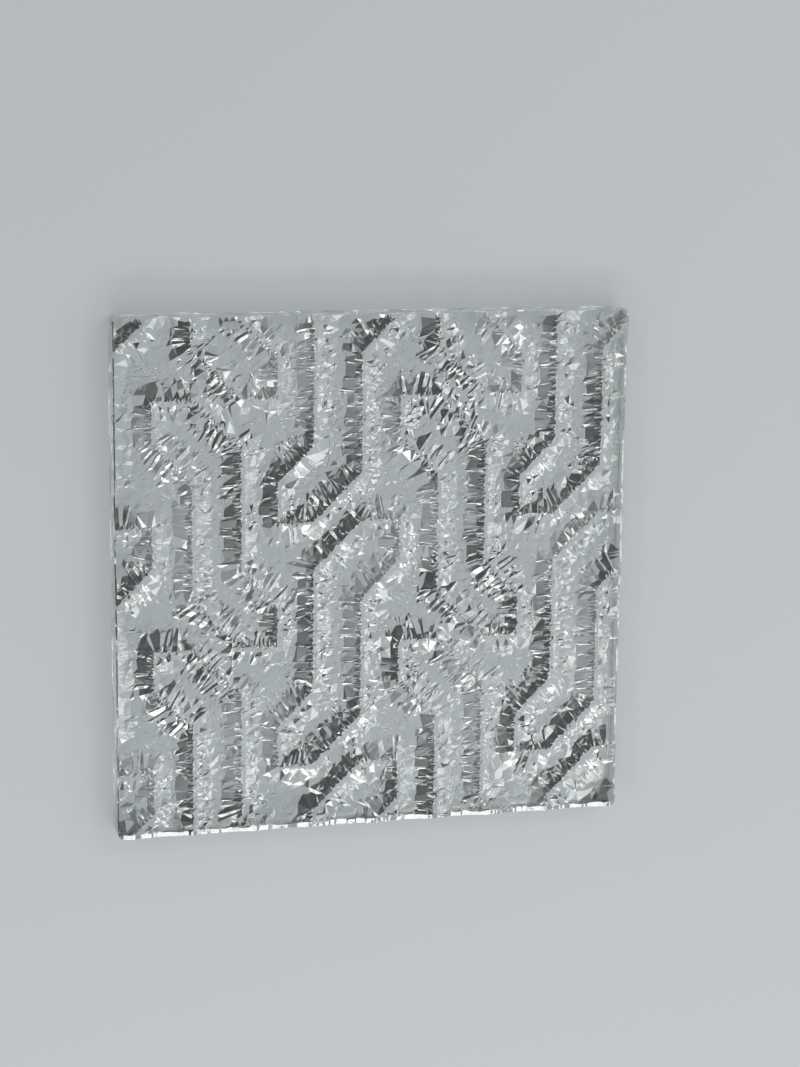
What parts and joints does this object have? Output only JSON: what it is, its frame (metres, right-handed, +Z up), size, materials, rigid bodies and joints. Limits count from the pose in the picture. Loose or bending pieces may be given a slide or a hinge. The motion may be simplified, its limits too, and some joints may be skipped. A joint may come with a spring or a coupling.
{
  "type": "textured glass panel",
  "caption": "Square clear cast glass panel, smooth below, with steep ridges in a slanting ring pattern and crackled relief on its upper face.",
  "frame": {"origin": "middle of the smooth lower face", "axes": "+Z up, out of the ridged face; +X to the right and +Y to the top of the panel as it is seen upright"},
  "size_m": [0.15, 0.15, 0.01],
  "materials": {
    "clear_glass": "fire-polished, faint grey-green"
  },
  "bodies": {
    "root": {"glass_panel": "clear_glass"}
  },
  "joints": []
}
